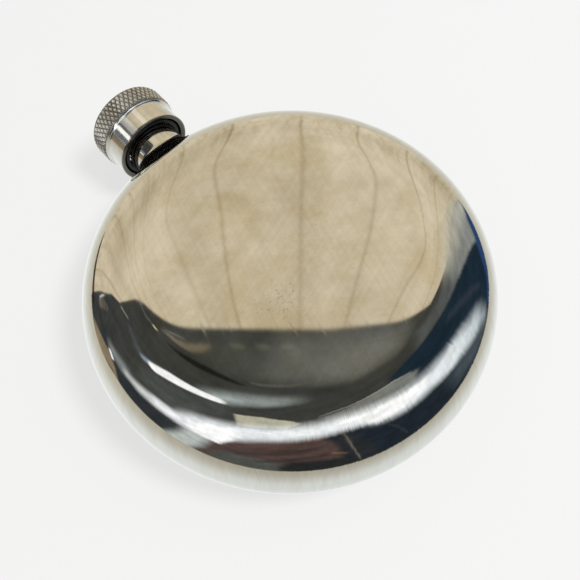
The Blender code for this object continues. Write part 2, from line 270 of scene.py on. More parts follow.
def lay_uv(mesh, rings, points, columns):
    """U is the column's share of a turn and V the length along the first column's section."""
    steps = np.linalg.norm(np.diff(rings[:, 0], axis=0), axis=1)
    lengths = np.concatenate([[0.0], np.cumsum(steps)]) * 100
    corner, start, face = face_corners(mesh)
    on_ring = corner < rings.shape[0] * columns
    u = np.where(on_ring, corner % columns / columns, 0.0)
    v = np.where(on_ring, lengths[np.minimum(corner // columns, len(lengths) - 1)],
                 np.where(corner == len(points) - 1, lengths[-1], 0.0))
    highest = np.maximum.reduceat(u, start)
    u = np.where((highest[face] > 0.75) & (u < 0.25), u + 1.0, u)
    layer = mesh.uv_layers.new(name="turned")
    layer.data.foreach_set("uv", np.stack([u, v], 1).ravel().astype(np.float32))


# Body

def body_section(body, crowned, samples=6000):
    """Half the body's section, from the rim to the axis: radius, height, normal and angle turned.

    The bend of the section is a step function of the length along it: the rim's, the shoulder's,
    then the crown's or none. A moving average softens the steps, and its sum gives the slope.
    The sums of the slope's sine and cosine give the radius and the height, which are then
    stretched a little to end on the axis at the CAD shell's height.
    """
    slope = body.shoulder_slope
    reach = body.shoulder_radius - body.rim_radius
    face = body.radius - body.rim_radius - reach * math.sin(slope)
    if crowned:
        lean = math.asin(face / (body.crown_radius - body.shoulder_radius))
        bends = [(math.pi / 2 - slope, body.rim_radius), (slope - lean, body.shoulder_radius),
                 (lean, body.crown_radius)]
        spans = [angle * radius for angle, radius in bends]
        rates = [1 / radius for angle, radius in bends]
        top = SHELL_HIGH.z - MIDDLE
        blend = body.blend
    else:
        spans = [(math.pi / 2 - slope) * body.rim_radius, slope * body.shoulder_radius, face]
        rates = [1 / body.rim_radius, 1 / body.shoulder_radius, 0.0]
        top = MIDDLE - SHELL_LOW.z
        blend = body.blend / 2
    length = np.linspace(0.0, sum(spans), samples)
    rate = np.select([length < spans[0], length < spans[0] + spans[1]], rates[:2], rates[2])
    half = int(blend / sum(spans) * samples / 2)
    kernel = np.hanning(2 * half + 3)[1:-1]
    rate = np.convolve(np.pad(rate, half, mode="edge"), kernel / kernel.sum(), "valid")
    step = length[1]
    turned = running_sum(rate, step)
    turned *= math.pi / 2 / turned[-1]
    inward, upward = running_sum(np.sin(turned), step), running_sum(np.cos(turned), step)
    across = body.radius / inward[-1]
    tall = top / upward[-1]
    normal = np.stack([np.cos(turned) * tall, np.sin(turned) * across], 1)
    normal /= np.linalg.norm(normal, axis=1, keepdims=True)
    return body.radius - inward * across, upward * tall, normal, turned


def make_shell(context, name, node, side):
    """One pressed half: its skin's rings, an inner skin one wall inside, and a hole for the neck.

    The rings lie closer together where the section bends more: they are evenly spaced in the sum
    of the angle turned and the share of the section's length, which has a weight of its own.
    """
    body = context.scene.wine_flask_body
    length_weight = 1.32
    radius, height, normal, turned = body_section(body, side > 0)
    spacing = turned + length_weight * np.linspace(0, 1, len(turned))
    outer, inner = [np.searchsorted(spacing, np.linspace(0, spacing[-1], rings + 1)[:-1])
                    for rings in (OUTER_RINGS, INNER_RINGS)]
    lift = np.maximum(height, body.seam_gap)
    skin = np.stack([radius[outer], lift[outer]], 1)
    lining = np.stack([radius[inner], height[inner]], 1) - body.wall * normal[inner]
    lining[:, 1] = np.maximum(lining[:, 1], body.seam_gap)
    poles = [(0, 0, MIDDLE + side * (height[-1] - body.wall)), (0, 0, MIDDLE + side * height[-1])]
    section = np.concatenate([lining[::-1], skin])
    if side < 0:
        section = section[::-1]
        poles = poles[::-1]
    rings = round_body(section[:, :1], side * section[:, 1:], ring_angles(SHELL_COLUMNS)[None, :])
    obj = make_piece(name, rings, poles)
    cut_neck_hole(obj, context.scene.wine_flask_neck, body)
    polish_normals(obj.data, body, radius, height, normal, side)
    finish_piece(obj, "flask", node, polished_steel(context))


def cut_neck_hole(obj, neck, body):
    """Cuts the round hole that the neck goes through, with an exact boolean made part of the mesh."""
    clearance, inward, outward_reach, columns = 0.00008, 0.016, 0.004, 96
    along = np.array([body.radius - inward, body.radius + outward_reach])
    rings = round_neck(neck.core + clearance, along[:, None], ring_angles(columns)[None, :])
    poles = [(0, float(at), MIDDLE) for at in along]
    cutter = make_piece("hole_cutter", rings, poles)
    cut = obj.modifiers.new("neck_hole", "BOOLEAN")
    cut.operation = "DIFFERENCE"
    cut.solver = "EXACT"
    cut.object = cutter
    graph = bpy.context.evaluated_depsgraph_get()
    graph.update()
    mesh = bpy.data.meshes.new_from_object(obj.evaluated_get(graph))
    obj.modifiers.clear()
    obj.data = mesh
    bpy.data.objects.remove(cutter, do_unlink=True)


def polish_normals(mesh, body, radius, height, normal, side):
    """Gives each corner the section's own normal, so that reflections bend without facets.

    A corner's place in the section is its angle about the rim's centre. Faces that lie in the
    outer skin take the normal there, faces of the inner skin take its opposite, and the edges
    of the sheet keep their own face's normal.
    """
    skin_share, lining_share = 0.4, 0.6
    centre = body.radius - body.rim_radius
    swept = np.arctan2(height, radius - centre)
    points = read(mesh.vertices, "co", 3, float)
    around = np.hypot(points[:, 0], points[:, 1])
    lift = side * (points[:, 2] - MIDDLE)
    angle = np.arctan2(lift, around - centre)
    flat, up = np.interp(angle, swept, normal[:, 0]), np.interp(angle, swept, normal[:, 1])
    depth = np.hypot(around - np.interp(angle, swept, radius), lift - np.interp(angle, swept, height))
    ray = points[:, :2] / np.maximum(around, 1e-9)[:, None]
    smooth = np.column_stack([ray * flat[:, None], side * up])
    smooth[around < 1e-7] = (0, 0, side)
    corner, start, face = face_corners(mesh)
    outside = (np.maximum.reduceat(depth[corner], start) < skin_share * body.wall)[face]
    inside = (np.minimum.reduceat(depth[corner], start) > lining_share * body.wall)[face]
    normals = read(mesh.polygons, "normal", 3, float)[face]
    normals = np.where(outside[:, None], smooth[corner], normals)
    normals = np.where(inside[:, None], -smooth[corner], normals)
    mesh.shade_smooth()
    mesh.normals_split_custom_set(normals.tolist())


def finish_piece(obj, body, node, material):
    """Puts the material on the piece, ties it to its body, and hides its CAD node."""
    obj.data.materials.clear()
    obj.data.materials.append(material)
    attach(obj, body)
    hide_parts(node)


# Neck

def rim_height(body, radius, angles):
    """How far out along the neck the rim's surface is, at a distance and an angle round the neck.

    The rim's own radius at a height off the middle plane comes from the section, and the place
    along the neck is the square root of that radius squared less x squared.
    """
    rim, height, _, _ = body_section(body, True)
    across, off = radius * np.cos(angles), np.abs(radius * np.sin(angles))
    return np.sqrt(np.interp(off, height, rim) ** 2 - across ** 2)


def thread_share(neck, along, angles, first, last, shift):
    """Height of the thread as a share of its depth, at a place along and round the neck.

    The crest climbs one pitch a turn, so the distance to it is the fraction left over when the
    place is counted in pitches. Flanks slope between the crest's and the root's shares of a
    pitch, and the thread fades in and out over a quarter of a turn.
    """
    root_from_crest, flank_width, fade_turns = 0.25, 0.12, 0.25
    pitches = (along - first) / neck.pitch - angles / (2 * math.pi) - shift
    turn = np.round(pitches)
    climbed = turn + angles / (2 * math.pi) + shift
    turns = (last - first) / neck.pitch
    fade = np.clip(climbed / fade_turns, 0, 1) * np.clip((turns - climbed) / fade_turns, 0, 1)
    return eased((root_from_crest - np.abs(pitches - turn)) / flank_width) * fade


def make_neck(context):
    """The neck as one closed surface: spigot, flare, collar, ledge, thread, lip and bore.

    The flare is a quarter circle that stands on the rim's own height all round, and its toe is
    sunk a little, so that no gap shows.
    """
    body = context.scene.wine_flask_body
    neck = context.scene.wine_flask_neck
    angles = ring_angles(NECK_COLUMNS)[None, :]
    low, lip = NECK_LOW.y, NECK_HIGH.y
    edge, lip_round, chamfer, bore_ring = 0.00018, 0.0003, 0.0002, 0.006
    spigot_depth, toe_depth, toe_sink, toe_step = 0.0009, 0.00006, 0.00003, 0.00002
    flare_rings, collar_rings, thread_rings = 25, 9, 112
    rows = []

    def plain(profile):
        """Adds rings that are the same all round."""
        rows.append(turned_profile(profile, angles))

    def on_rim(radius, over):
        """Adds rings at a height over the rim's surface."""
        rows.append(round_neck(radius, rim_height(body, radius, angles) + over, angles))

    plain(np.array([(neck.core - chamfer, low), (neck.core, low + chamfer)]))
    on_rim(np.array([[neck.core]]), -spigot_depth)
    on_rim(np.array([[neck.core + toe_step]]), -toe_depth)
    turn = np.linspace(0, math.pi / 2, flare_rings)[:, None]
    on_rim(neck.collar + neck.flare * (1 - np.sin(turn)),
           neck.flare * (1 - np.cos(turn)) - toe_sink * np.cos(turn))
    start = rim_height(body, np.array([[neck.collar]]), angles) + neck.flare
    climb = np.linspace(0, 1, collar_rings)[1:-1, None]
    rows.append(round_neck(neck.collar, start + climb * (neck.collar_top - edge - start), angles))
    plain(quarter(neck.collar - edge, neck.collar_top - edge, edge, 0))
    first, last = neck.collar_top + neck.margin, lip - neck.margin
    along = np.linspace(neck.collar_top, lip - lip_round, thread_rings)[:, None]
    share = thread_share(neck, along, angles, first, last, 0.0)
    rows.append(round_neck(neck.core + neck.depth * share, along, angles))
    plain(quarter(neck.core - lip_round, lip - lip_round, lip_round, 0)[1:])
    plain(quarter(neck.bore + lip_round, lip - lip_round, lip_round, math.pi / 2))
    plain(np.array([(neck.bore, low + bore_ring), (neck.bore, low + chamfer),
                    (neck.bore + chamfer, low)]))
    obj = make_piece("threaded_neck", np.concatenate(rows), loop=True)
    finish_piece(obj, "flask", "neck", turned_steel(context))


# Cap

def cap_profile(cap, root):
    """The cap's section in three parts: the inside, the lip, and the outside up to the knurl.

    The lip has a quarter circle at each edge. The cove is an arc that leaves the skirt and swings
    out until it is just under the root of the knurl.
    """
    mouth, soft, edge = CAP_LOW.y, cap.lip_round, cap.lip_edge
    hub, corner, bore_rings = 0.003, 0.0003, (0.006, 0.003, 0.0012)
    skirt_rings, last_skirt_ring = (0.0006, 0.002, 0.0035), 0.0004
    under_knurl, before_knurl, cove_rings = 0.00004, 0.00006, 12
    inside = [(hub, cap.inner_end), (cap.bore - corner, cap.inner_end),
              (cap.bore, cap.inner_end - corner)]
    inside += [(cap.bore, mouth + at) for at in bore_rings]
    lip = np.concatenate([quarter(cap.bore + soft, mouth + soft, soft, math.pi),
                          quarter(cap.skirt - edge, mouth + edge, edge, -math.pi / 2)])
    bend = math.acos(1 - (root - under_knurl - cap.skirt) / cap.cove)
    swing = np.linspace(0, bend, cove_rings)
    cove = np.stack([cap.skirt + cap.cove * (1 - np.cos(swing)),
                     cap.knurl_start - before_knurl
                     - cap.cove * (math.sin(bend) - np.sin(swing))], 1)
    skirt = [(cap.skirt, mouth + at) for at in skirt_rings]
    skirt.append((cap.skirt, cove[0, 1] - last_skirt_ring))
    return np.array(inside), lip, np.concatenate([skirt, cove])


def knurl_cuts(cap, share, angles, root, radius):
    """Which way each of the knurl's faces is cut in two.

    Of its two diagonals, the one whose middle is nearer the true surface is taken.
    """
    middle = (share[1:] + share[:-1]) / 2
    true_middle = knurl_radius(cap, middle, angles + math.pi / angles.size, root)
    near, far = radius, np.roll(radius, -1, axis=1)
    one, other = (near[:-1] + far[1:]) / 2, (far[:-1] + near[1:]) / 2
    return np.abs(one - true_middle) <= np.abs(other - true_middle)


def make_cap(context):
    """The cap's steel shell from its inside end face, round the mouth, to its outside end face.

    Each point also gets an amount of painted shade, which darkens the steel: the depth in the knurl
    as a share of its full depth, and values of their own for the inside and for the lip's outer edge.
    """
    cap = context.scene.wine_flask_cap
    painted_inside_shade, painted_lip_shade = 1.7, 0.95
    end_step, end_drop, end_chamfer = 0.00005, 0.00004, 0.0002
    face_rings = (0.0096, 0.007, 0.004, 0.0012)
    columns = cap.knurl_count * KNURL_STEPS
    angles = ring_angles(columns)[None, :] + cap.knurl_turn
    crest, end = CAP_HIGH.x, CAP_HIGH.y
    root = crest - cap.knurl_depth
    inside, lip, outside = cap_profile(cap, root)
    samples = round(cap.knurl_rows * KNURL_STEPS)
    share = np.linspace(0, 1, samples + 1)[:, None]
    radius = knurl_radius(cap, share, angles, root)
    along = cap.knurl_start + share * (cap.knurl_end - cap.knurl_start)
    finish = np.array([(root - end_step, end - end_drop), (root - end_chamfer, end)]
                      + [(at, end) for at in face_rings])
    rings = np.concatenate([turned_profile(np.concatenate([inside, lip, outside]), angles),
                            round_neck(radius, along, angles), turned_profile(finish, angles)])
    first = len(inside) + len(lip) + len(outside)
    flips = np.ones((len(rings) - 1, columns), dtype=bool)
    flips[first:first + samples] = knurl_cuts(cap, share, angles, root, radius)
    obj = make_piece("knurled_cap", rings, [(0, cap.inner_end, MIDDLE), (0, end, MIDDLE)],
                     flips=flips, sharp=KNURL_SHARP_ANGLE)
    lip_middle = len(inside) + len(lip) // 2
    # Painted shade: darkest inside the mouth and on the lip's inner rounding, dark on the lip's outer
    # edge, and in the knurl by the depth of its grooves
    groove = np.zeros(rings.shape[:2])
    groove[:lip_middle] = painted_inside_shade
    groove[lip_middle:len(inside) + len(lip)] = painted_lip_shade
    groove[first:first + samples + 1] = (crest - radius) / cap.knurl_depth
    point_values(obj.data, "groove", np.append(groove, (0, 0)))
    finish_piece(obj, "cap", "cap_shell", turned_steel(context, knurled=True))


def knurl_radius(cap, share, angles, root):
    """Radius of the knurl: two families of V grooves cross and leave pyramids.

    With u counting diamonds round and v diamonds along, the grooves lie where u + v and u - v
    are whole numbers, and the height is the smaller of the two distances from the nearest grooves.
    The pyramids' tips are cut off, and the height falls to nothing at both ends of the knurl.
    """
    steeper = 1.25
    turned = angles - cap.knurl_turn
    u, v = turned / (2 * math.pi) * cap.knurl_count, share * cap.knurl_rows
    one, other = u + v, u - v
    height = 2 * np.minimum(np.abs(one - np.round(one)), np.abs(other - np.round(other)))
    height = np.minimum(height * steeper, 1.0)
    ends = np.clip(np.minimum(share, 1 - share) * cap.knurl_rows * KNURL_STEPS, 0, 1)
    return root + cap.knurl_depth * height * ends


def make_insert(context):
    """The plastic insert: a plain outside, rounded ends and the thread on its bore.

    Its thread is the neck's, shifted half a pitch, and stops short of both ends.
    """
    cap = context.scene.wine_flask_cap
    neck = context.scene.wine_flask_neck
    low, high, outer = INSERT_LOW.y, INSERT_HIGH.y, INSERT_HIGH.x
    edge, plain_end, run_out = 0.0002, 0.0004, 0.0003
    columns, thread_rings, edge_rings = 144, 100, 5
    angles = ring_angles(columns)[None, :]
    side = np.concatenate([quarter(outer - edge, low + edge, edge, -math.pi / 2, edge_rings),
                           quarter(outer - edge, high - edge, edge, 0, edge_rings)])
    top = quarter(cap.insert_bore + edge, high - edge, edge, math.pi / 2, edge_rings)
    bottom = quarter(cap.insert_bore + edge, low + edge, edge, math.pi, edge_rings)
    along = np.linspace(high - edge, low + edge, thread_rings)[1:-1, None]
    first, last = neck.collar_top + neck.margin, NECK_HIGH.y - neck.margin
    share = thread_share(neck, along, angles, first, last, 0.5)
    ends = np.clip(np.minimum(along - low - plain_end, high - plain_end - along) / run_out, 0, 1)
    depth = (cap.insert_bore - cap.insert_crest) * share * ends
    rings = np.concatenate([
        turned_profile(side, angles), turned_profile(top, angles),
        round_neck(cap.insert_bore - depth, along, angles), turned_profile(bottom, angles)])
    obj = make_piece("cap_insert", rings, loop=True)
    finish_piece(obj, "cap", "cap_thread_insert", insert_plastic(context))


def make_seal(context):
    """The soft seal: a disc with rounded edges and a shallow ring where the lip presses."""
    low, high, outer = SEAL_LOW.y, SEAL_HIGH.y, SEAL_HIGH.x
    edge, hub, columns, pressed_rings = 0.0003, 0.002, 128, 9
    press_radius, press_half_width, press_depth = 0.0056, 0.0009, 0.00009
    angles = ring_angles(columns)[None, :]
    across = np.linspace(-1, 1, pressed_rings)
    pressed = np.stack([press_radius + press_half_width * across,
                        low + press_depth * (1 - across ** 2)], 1)
    section = np.concatenate([[(hub, low)], pressed,
                              quarter(outer - edge, low + edge, edge, -math.pi / 2),
                              quarter(outer - edge, high - edge, edge, 0), [(hub, high)]])
    obj = make_piece("soft_seal", turned_profile(section, angles),
                     [(0, low, MIDDLE), (0, high, MIDDLE)])
    finish_piece(obj, "seal", "cap_seal", seal_silicone(context))


# Materials

# The middle of a group of small pits on the front face, and the side of the rim on which the
# polishing lines are deepest
PITS_MIDDLE = (-0.0092, -0.0077, SHELL_HIGH.z)
DEEP_SIDE = (0.64, -0.77, 0)

# Nearly all of a noise lies between these
NOISE_RANGE = (0.3, 0.7)


def new_material(name):
    """An empty node material and its Principled shader."""
    material = bpy.data.materials.new(name)
    material.use_nodes = True
    tree = material.node_tree
    return material, tree, tree.nodes["Principled BSDF"]


def put(tree, socket, value):
    """Gives an input its value, or a link from another socket."""
    if isinstance(value, bpy.types.NodeSocket):
        tree.links.new(value, socket)
    else:
        socket.default_value = value


def put_all(tree, node, inputs):
    """Gives a node's inputs their values and links."""
    for key, value in inputs.items():
        put(tree, node.inputs[key], value)


def add(tree, kind, inputs=None, **settings):
    """A node with its settings, its values and its links."""
    node = tree.nodes.new(kind)
    for key, value in settings.items():
        setattr(node, key, value)
    put_all(tree, node, inputs or {})
    return node


def place(tree):
    """Object coordinates."""
    return add(tree, "ShaderNodeTexCoord").outputs["Object"]


def turned_place(tree, vector, degrees, scale):
    """The coordinates turned about Z and stretched, so a noise in them becomes lines."""
    turned = add(tree, "ShaderNodeMapping", {
        "Vector": vector, "Rotation": (0, 0, math.radians(degrees))}).outputs[0]
    return add(tree, "ShaderNodeMapping", {"Vector": turned, "Scale": scale}).outputs[0]


def noise(tree, vector, scale, detail=2.0, roughness=0.5, distortion=0.0):
    """Noise between nought and one."""
    return add(tree, "ShaderNodeTexNoise", {
        "Vector": vector, "Scale": scale, "Detail": detail, "Roughness": roughness,
        "Distortion": distortion}).outputs["Fac"]


def spread(tree, value, low, high, to_low=0.0, to_high=1.0):
    """A value's range carried to another range and kept inside it."""
    return add(tree, "ShaderNodeMapRange", {
        "Value": value, "From Min": low, "From Max": high,
        "To Min": to_low, "To Max": to_high}).outputs["Result"]


def stretched(tree, value, to_low=0.0, to_high=1.0):
    """A noise's usual range, which is narrow, carried to another range."""
    return spread(tree, value, *NOISE_RANGE, to_low, to_high)


def plus(tree, one, other):
    """The sum of two values."""
    return add(tree, "ShaderNodeMath", {0: one, 1: other}, operation="ADD").outputs[0]


def times(tree, one, other):
    """The product of two values."""
    return add(tree, "ShaderNodeMath", {0: one, 1: other}, operation="MULTIPLY").outputs[0]


def vector_math(tree, operation, one, other=(0, 0, 0)):
    """One step of arithmetic on vectors. A length, a distance or a dot product is one number."""
    node = add(tree, "ShaderNodeVectorMath", {0: one, 1: other}, operation=operation)
    is_number = operation in ("LENGTH", "DISTANCE", "DOT_PRODUCT")
    return node.outputs["Value" if is_number else "Vector"]


def outward(tree, where):
    """The place laid flat on the ground, and its direction from the axis."""
    flat = vector_math(tree, "MULTIPLY", where, (1, 1, 0))
    return flat, vector_math(tree, "NORMALIZE", flat)


def mixed(tree, factor, one, other):
    """A colour between two colours."""
    node = add(tree, "ShaderNodeMix", data_type="RGBA")
    for key, value in (("Factor", factor), ("A", one), ("B", other)):
        put(tree, [socket for socket in node.inputs if socket.name == key and socket.enabled][0],
            value)
    return [socket for socket in node.outputs if socket.enabled][0]


def toned(tree, factor, colour, tone):
    """A colour between a colour and the same colour times a tone."""
    other = [value * share for value, share in zip(colour, tone)]
    return mixed(tree, factor, (*colour, 1), (*other, 1))


def bump(tree, height, distance, before=None):
    """Raises the surface by a height counted in a distance."""
    inputs = {"Height": height, "Distance": distance, "Strength": 1.0}
    if before is not None:
        inputs["Normal"] = before
    return add(tree, "ShaderNodeBump", inputs).outputs["Normal"]


def polished_steel(context):
    """Mirror-polished sheet with hairlines on the face and polishing lines across the rim."""
    name = "mirror_polished_steel"
    if name in bpy.data.materials:
        return bpy.data.materials[name]
    material, tree, shader = new_material(name)
    where = place(tree)
    flat, ray = outward(tree, where)
    out = vector_math(tree, "LENGTH", flat)
    on_rim = spread(tree, out, 0.037, 0.042)
    on_face = spread(tree, out, 0.030, 0.040, 1.0, 0.0)
    hair = noise(tree, turned_place(tree, where, -75, (75, 1200, 75)), 1.0, 3.0)
    cross = noise(tree, turned_place(tree, where, -20, (30, 1000, 30)), 1.0, 3.0)
    radial = noise(tree, ray, 210.0, 3.0, 0.6)
    normal = bump(tree, hair, 0.00000035)
    normal = bump(tree, cross, 0.00000025, normal)
    normal = bump(tree, times(tree, radial, on_rim), 0.0000010, normal)
    normal = bump(tree, noise(tree, where, 55.0, 1.0, 0.4), 0.0000022, normal)
    put_all(tree, shader, {
        "Base Color": polished_colour(context, tree, where, hair, cross, on_face),
        "Roughness": polished_roughness(tree, where, hair, radial, on_rim),
        "Metallic": 1.0,
        "Normal": leaning(tree, normal, ray, radial, out)})
    return material


def polished_roughness(tree, where, hair, radial, on_rim):
    """Nearly smooth: a little rougher in blotches, along the deeper hairlines and across the rim."""
    blotch = stretched(tree, noise(tree, where, 70.0, 4.0, 0.6), 0.022, 0.042)
    scratches = times(tree, spread(tree, hair, 0.60, 0.74), 0.05)
    lines = times(tree, times(tree, spread(tree, radial, 0.35, 0.75), on_rim), 0.05)
    return plus(tree, plus(tree, blotch, scratches), lines)


def polished_colour(context, tree, where, hair, cross, on_face):
    """The steel's colour with warm stains and small pits on the face, duller along hairlines."""
    stain = noise(tree, turned_place(tree, where, 30, (60, 84, 70)), 1.0, 8.0, 0.72)
    stain = times(tree, spread(tree, stain, 0.43, 0.62), on_face)
    colour = toned(tree, stain, context.scene.wine_flask_finish.steel, (0.86, 0.82, 0.73))
    grouped = spread(tree, vector_math(tree, "DISTANCE", where, PITS_MIDDLE), 0.002, 0.007, 0.14, 0.0)
    pits = plus(tree, noise(tree, where, 1700.0, 1.0, 0.4), grouped)
    pits = times(tree, spread(tree, pits, 0.72, 0.80, 0.0, 0.38), on_face)
    colour = mixed(tree, pits, colour, (0.30, 0.28, 0.24, 1))
    fine = plus(tree, times(tree, stretched(tree, hair), 0.5),
                times(tree, stretched(tree, cross), 0.5))
    return mixed(tree, spread(tree, fine, 0.2, 0.8, 0.0, 0.2), colour, (0.40, 0.38, 0.34, 1))


def leaning(tree, normal, ray, radial, out):
    """The normal tipped in or out along the rim's polishing lines, on the side they are deepest.

    Each line leans by its own noise, so that it carries its own shift of the reflection.
    """
    on_shoulder = spread(tree, out, 0.034, 0.039)
    facing = vector_math(tree, "DOT_PRODUCT", ray, DEEP_SIDE)
    where_deep = times(tree, on_shoulder, spread(tree, facing, -0.25, 0.4))
    lean = times(tree, spread(tree, radial, 0.2, 0.8, -0.028, 0.028), where_deep)
    tilt = add(tree, "ShaderNodeVectorMath", {0: ray, "Scale": lean}, operation="SCALE").outputs[0]
    return vector_math(tree, "NORMALIZE", vector_math(tree, "ADD", normal, tilt))


def turned_steel(context, knurled=False):
    """Lathe-turned steel: fine rings round the axis, which stretch highlights along it.

    On the cap, painted shade darkens the grooves of the knurl, the lip and the inside of the mouth.
    """
    steel = context.scene.wine_flask_finish.steel
    material, tree, shader = new_material("knurled_turned_steel" if knurled else "turned_steel")
    where = place(tree)
    along = add(tree, "ShaderNodeSeparateXYZ", {0: where}).outputs[1]
    rings = noise(tree, add(tree, "ShaderNodeCombineXYZ", {1: along}).outputs[0], 9000.0, 3.0, 0.6)
    blotch = noise(tree, where, 420.0, 3.0, 0.6)
    colour = toned(tree, stretched(tree, blotch), steel, (0.82, 0.82, 0.82))
    smooth, rough, stretch = (0.13, 0.20, 0.75) if knurled else (0.05, 0.08, 0.3)
    roughness = stretched(tree, rings, smooth, rough)
    if knurled:
        knurl_start = context.scene.wine_flask_cap.knurl_start
        groove = add(tree, "ShaderNodeAttribute", attribute_name="groove").outputs["Fac"]
        on_knurl = spread(tree, along, knurl_start - 0.0001, knurl_start)
        colour = mixed(tree, on_knurl, colour, (*steel, 1))
        # Painted shade: darker down the knurl's grooves and on the lip
        colour = mixed(tree, spread(tree, groove, 0.1, 0.95, 0.0, 0.95), colour,
                       (0.16, 0.145, 0.125, 1))
        # Painted shade: nearly black inside the mouth and on the lip's inner rounding
        colour = mixed(tree, spread(tree, groove, 1.0, 2.0), colour, (0.05, 0.047, 0.04, 1))
        roughness = plus(tree, roughness, times(tree, on_knurl, 0.24))
    tangent = add(tree, "ShaderNodeTangent", direction_type="UV_MAP", uv_map="turned").outputs[0]
    put_all(tree, shader, {
        "Base Color": colour, "Roughness": roughness, "Metallic": 1.0, "Anisotropic": stretch,
        "Anisotropic Rotation": 0.25, "Tangent": tangent, "Normal": bump(tree, rings, 0.0000015)})
    return material


def insert_plastic(context):
    """Black moulded plastic with a fine satin grain."""
    material, tree, shader = new_material("moulded_black_plastic")
    grain = noise(tree, place(tree), 5200.0, 3.0, 0.6)
    cloud = noise(tree, place(tree), 500.0, 2.0, 0.5)
    plastic = context.scene.wine_flask_finish.plastic
    put_all(tree, shader, {
        "Base Color": toned(tree, stretched(tree, cloud), plastic, (2.2, 2.2, 2.2)),
        "Roughness": stretched(tree, cloud, 0.34, 0.48),
        "Specular IOR Level": 0.2, "Normal": bump(tree, grain, 0.000006)})
    return material


def seal_silicone(context):
    """Soft translucent white silicone with a faint moulded grain."""
    material, tree, shader = new_material("white_silicone")
    grain = noise(tree, place(tree), 3600.0, 2.0, 0.5)
    cloud = noise(tree, place(tree), 380.0, 3.0, 0.5)
    silicone = context.scene.wine_flask_finish.silicone
    put_all(tree, shader, {
        "Base Color": toned(tree, stretched(tree, cloud), silicone, (0.93, 0.91, 0.86)),
        "Roughness": stretched(tree, cloud, 0.42, 0.55),
        "Subsurface Weight": 0.25, "Subsurface Scale": 0.001,
        "Normal": bump(tree, grain, 0.000008)})
    return material


# Surroundings, which only the steel reflects

AREA, BAND, BOARD = "area", "band", "board"

